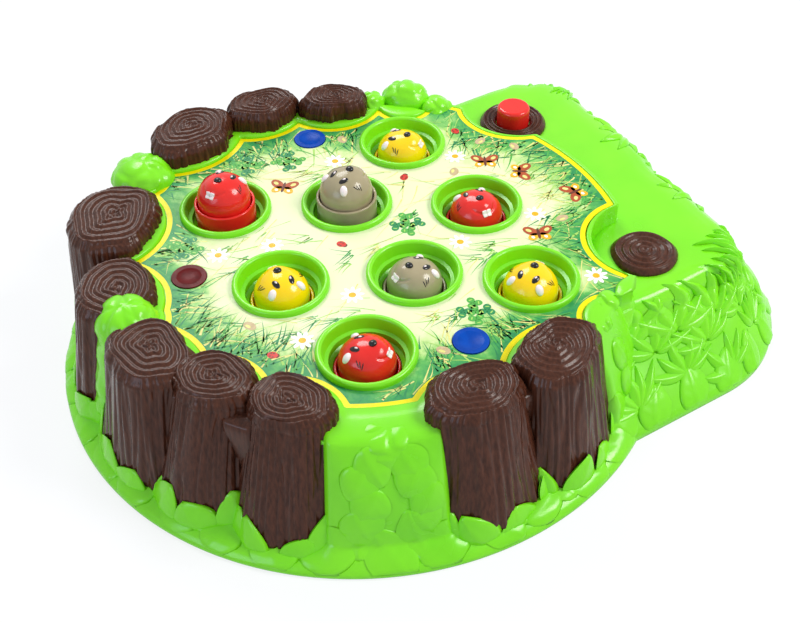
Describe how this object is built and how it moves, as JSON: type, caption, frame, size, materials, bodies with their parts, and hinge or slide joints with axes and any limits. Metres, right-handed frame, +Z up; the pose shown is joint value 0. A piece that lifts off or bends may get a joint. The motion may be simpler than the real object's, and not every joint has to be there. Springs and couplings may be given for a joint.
{
  "type": "whack-a-mole toy",
  "caption": "Tabletop whack-a-mole toy: moulded round base with stumps and a front lobe, moles that rise through collars on a motor cam and give when hit, start button and lamps.",
  "frame": {"origin": "on the table under the middle of the toy's box", "axes": "+Z up, -Y towards the player and the lobe, +X to the player's right"},
  "size_m": [0.253, 0.2936, 0.0664],
  "materials": {
    "shell_green": "moulded lime green, glossy",
    "stump_brown": "sprayed dark brown, glossy",
    "cover_green": "moulded lime green, fine matt texture",
    "panel_print": "printed sheet under a clear film",
    "lens_red": "clear dark red, polished",
    "lens_blue": "clear blue, polished",
    "led_clear": "clear moulded",
    "mole_red": "moulded red, glossy",
    "mole_yellow": "moulded yellow, glossy",
    "mole_grey": "moulded warm grey, glossy",
    "button_red": "moulded red, glossy",
    "steel": "plated steel",
    "brass": "bare brass",
    "circuit_board": "green solder mask",
    "black_plastic": "moulded black",
    "cell_sleeve": "plain dark sleeve",
    "gear_white": "moulded acetal"
  },
  "bodies": {
    "base": {"top_shell": "shell_green", "deck_plate": "shell_green", "play_panel": "panel_print", "lens_red": "lens_red", "lens_blue_right": "lens_blue", "lens_blue_left": "lens_blue", "indicator_leds": "led_clear", "bottom_cover": "cover_green", "case_screws": "steel", "battery_door": "cover_green", "battery_door_screw": "steel", "aa_cells": "cell_sleeve", "battery_contacts": "steel", "main_board": "circuit_board", "speaker": "black_plastic", "drive_motor": "steel", "motor_bracket": "steel", "button_spring": "steel", "button_board": "circuit_board", "power_switch_body": "black_plastic"},
    "cup_1": {"mole_cup_1": "mole_red", "mole_spring_1": "steel", "hit_contact_1": "brass"},
    "head_1": {"mole_head_1": "mole_red"},
    "cup_2": {"mole_cup_2": "mole_yellow", "mole_spring_2": "steel", "hit_contact_2": "brass"},
    "head_2": {"mole_head_2": "mole_yellow"},
    "cup_3": {"mole_cup_3": "mole_red", "mole_spring_3": "steel", "hit_contact_3": "brass"},
    "head_3": {"mole_head_3": "mole_red"},
    "cup_4": {"mole_cup_4": "mole_grey", "mole_spring_4": "steel", "hit_contact_4": "brass"},
    "head_4": {"mole_head_4": "mole_grey"},
    "cup_5": {"mole_cup_5": "mole_grey", "mole_spring_5": "steel", "hit_contact_5": "brass"},
    "head_5": {"mole_head_5": "mole_grey"},
    "cup_6": {"mole_cup_6": "mole_yellow", "mole_spring_6": "steel", "hit_contact_6": "brass"},
    "head_6": {"mole_head_6": "mole_yellow"},
    "cup_7": {"mole_cup_7": "mole_red", "mole_spring_7": "steel", "hit_contact_7": "brass"},
    "head_7": {"mole_head_7": "mole_red"},
    "cup_8": {"mole_cup_8": "mole_yellow", "mole_spring_8": "steel", "hit_contact_8": "brass"},
    "head_8": {"mole_head_8": "mole_yellow"},
    "start_button": {"start_button": "button_red"},
    "power_switch": {"power_switch_knob": "black_plastic"},
    "cam_disc": {"cam_disc": "gear_white"},
    "compound_gear": {"compound_gear": "gear_white"},
    "motor_pinion": {"motor_pinion": "brass"}
  },
  "joints": [
    {"name": "mole_1_rise", "type": "slide", "parent": "base", "child": "cup_1", "axis": [0, 0, 1], "range_m": [-0.0116, 0]},
    {"name": "mole_1_hit", "type": "slide", "parent": "cup_1", "child": "head_1", "axis": [0, 0, -1], "range_m": [0, 0.003], "stiffness_N_per_m": 300, "springref_m": -0.0005, "deforming": ["mole_spring_1"]},
    {"name": "mole_2_rise", "type": "slide", "parent": "base", "child": "cup_2", "axis": [0, 0, 1], "range_m": [0, 0.0116]},
    {"name": "mole_2_hit", "type": "slide", "parent": "cup_2", "child": "head_2", "axis": [0, 0, -1], "range_m": [0, 0.003], "stiffness_N_per_m": 300, "springref_m": -0.0005, "deforming": ["mole_spring_2"]},
    {"name": "mole_3_rise", "type": "slide", "parent": "base", "child": "cup_3", "axis": [0, 0, 1], "range_m": [0, 0.0116]},
    {"name": "mole_3_hit", "type": "slide", "parent": "cup_3", "child": "head_3", "axis": [0, 0, -1], "range_m": [0, 0.003], "stiffness_N_per_m": 300, "springref_m": -0.0005, "deforming": ["mole_spring_3"]},
    {"name": "mole_4_rise", "type": "slide", "parent": "base", "child": "cup_4", "axis": [0, 0, 1], "range_m": [-0.0116, 0]},
    {"name": "mole_4_hit", "type": "slide", "parent": "cup_4", "child": "head_4", "axis": [0, 0, -1], "range_m": [0, 0.003], "stiffness_N_per_m": 300, "springref_m": -0.0005, "deforming": ["mole_spring_4"]},
    {"name": "mole_5_rise", "type": "slide", "parent": "base", "child": "cup_5", "axis": [0, 0, 1], "range_m": [0, 0.0116]},
    {"name": "mole_5_hit", "type": "slide", "parent": "cup_5", "child": "head_5", "axis": [0, 0, -1], "range_m": [0, 0.003], "stiffness_N_per_m": 300, "springref_m": -0.0005, "deforming": ["mole_spring_5"]},
    {"name": "mole_6_rise", "type": "slide", "parent": "base", "child": "cup_6", "axis": [0, 0, 1], "range_m": [0, 0.0116]},
    {"name": "mole_6_hit", "type": "slide", "parent": "cup_6", "child": "head_6", "axis": [0, 0, -1], "range_m": [0, 0.003], "stiffness_N_per_m": 300, "springref_m": -0.0005, "deforming": ["mole_spring_6"]},
    {"name": "mole_7_rise", "type": "slide", "parent": "base", "child": "cup_7", "axis": [0, 0, 1], "range_m": [0, 0.0116]},
    {"name": "mole_7_hit", "type": "slide", "parent": "cup_7", "child": "head_7", "axis": [0, 0, -1], "range_m": [0, 0.003], "stiffness_N_per_m": 300, "springref_m": -0.0005, "deforming": ["mole_spring_7"]},
    {"name": "mole_8_rise", "type": "slide", "parent": "base", "child": "cup_8", "axis": [0, 0, 1], "range_m": [0, 0.0116]},
    {"name": "mole_8_hit", "type": "slide", "parent": "cup_8", "child": "head_8", "axis": [0, 0, -1], "range_m": [0, 0.003], "stiffness_N_per_m": 300, "springref_m": -0.0005, "deforming": ["mole_spring_8"]},
    {"name": "start_press", "type": "slide", "parent": "base", "child": "start_button", "axis": [0, 0, -1], "range_m": [0, 0.003], "stiffness_N_per_m": 300, "springref_m": -0.0005, "deforming": ["button_spring"]},
    {"name": "power_slide", "type": "slide", "parent": "base", "child": "power_switch", "axis": [1, 0, 0], "range_m": [0, 0.005]},
    {"name": "cam_turn", "type": "hinge", "parent": "base", "child": "cam_disc", "pos_m": [0, 0.01025, 0.0085], "axis": [0, 0, 1], "continuous": true},
    {"name": "wheel_turn", "type": "hinge", "parent": "base", "child": "compound_gear", "pos_m": [0, 0.09255, 0.0085], "axis": [0, 0, 1], "continuous": true},
    {"name": "pinion_turn", "type": "hinge", "parent": "base", "child": "motor_pinion", "pos_m": [0, 0.11535, 0.0242], "axis": [0, 0, 1], "continuous": true}
  ],
  "couplings": [
    {"joint": "wheel_turn", "follows": "cam_turn", "ratio": -7.2},
    {"joint": "pinion_turn", "follows": "cam_turn", "ratio": 28.8}
  ]
}
